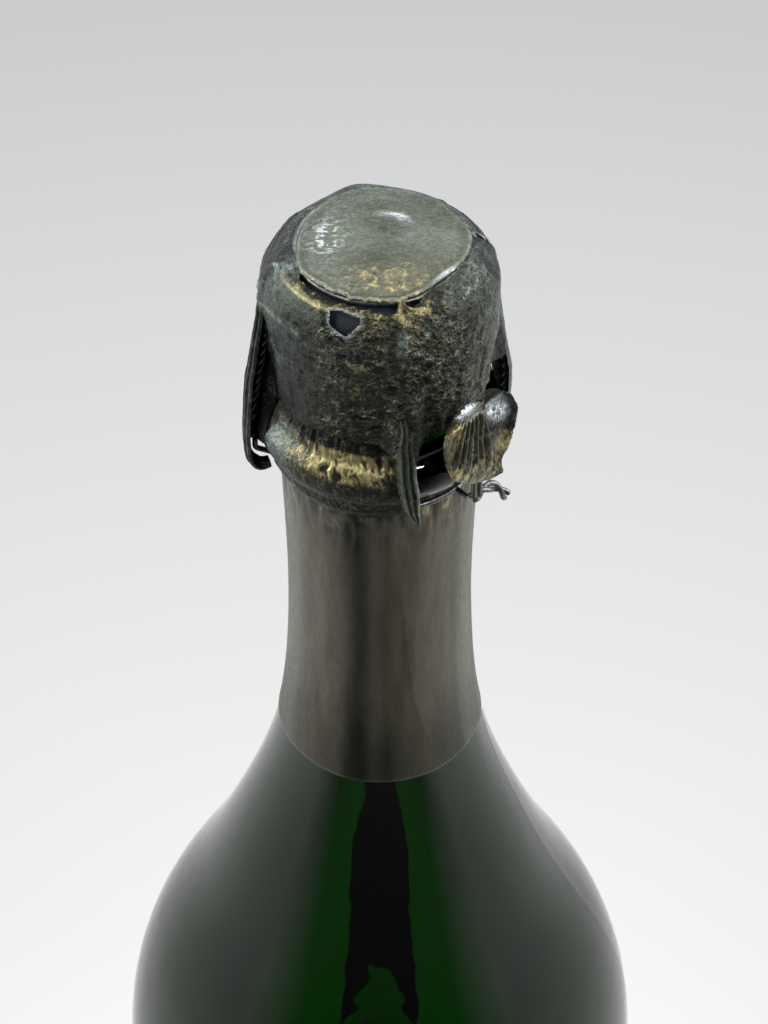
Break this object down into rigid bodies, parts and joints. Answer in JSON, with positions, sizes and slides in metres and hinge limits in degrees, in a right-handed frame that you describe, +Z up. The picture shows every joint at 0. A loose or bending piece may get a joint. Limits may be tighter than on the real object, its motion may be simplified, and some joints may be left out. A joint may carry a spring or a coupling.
{
  "type": "champagne bottle",
  "caption": "Sealed dark green champagne bottle with cork, wire cage and old bronze foil torn open round the ring of the neck.",
  "frame": {"origin": "on the bottle's axis, at the plane of the ring it stands on", "axes": "+Z up along the axis to the cork; the front of the bottle faces -Y"},
  "size_m": [0.0884, 0.089, 0.3179],
  "materials": {
    "green_glass": "gloss",
    "wine": "gloss",
    "bronze_foil": "satin",
    "label_paper": "matte",
    "agglomerate_cork": "matte",
    "natural_cork": "matte",
    "plate_lacquer": "gloss",
    "cage_wire": "satin"
  },
  "bodies": {
    "bottle": {"bottle_glass": "green_glass", "wine_fill": "wine", "neck_foil": "bronze_foil", "ring_foil_front_left": "bronze_foil", "ring_foil_back_left": "bronze_foil", "ring_foil_back_right": "bronze_foil", "front_label": "label_paper", "back_label": "label_paper"},
    "cork": {"cork_body": "agglomerate_cork", "cork_disc_upper": "natural_cork", "cork_disc_lower": "natural_cork"},
    "cage": {"cap_plate": "plate_lacquer", "cage_top_ring": "cage_wire", "cage_belt": "cage_wire", "twist_tail": "cage_wire", "cage_leg_front": "cage_wire", "cage_leg_right": "cage_wire", "cage_leg_back": "cage_wire", "cage_leg_left": "cage_wire", "leg_foil_front": "bronze_foil", "leg_foil_right": "bronze_foil", "leg_foil_back": "bronze_foil", "leg_foil_left": "bronze_foil"},
    "key": {"key_loop": "cage_wire", "key_foil": "bronze_foil"},
    "hood": {"foil_hood": "bronze_foil"}
  },
  "joints": [
    {"name": "cork_draw", "type": "slide", "parent": "bottle", "child": "cork", "axis": [0, 0, 1], "range_m": [0, 0.045], "deforming": ["cage_belt"]},
    {"name": "cage_lift", "type": "slide", "parent": "cork", "child": "cage", "axis": [0, 0, 1], "range_m": [0, 0.045], "deforming": ["cage_belt"]},
    {"name": "hood_lift", "type": "slide", "parent": "cage", "child": "hood", "axis": [0, 0, 1], "range_m": [0, 0.03]},
    {"name": "key_fold", "type": "hinge", "parent": "cage", "child": "key", "pos_m": [0.01315, -0.01315, 0.2832], "axis": [0.7071, 0.7071, 0], "range_deg": [0, 85]}
  ]
}
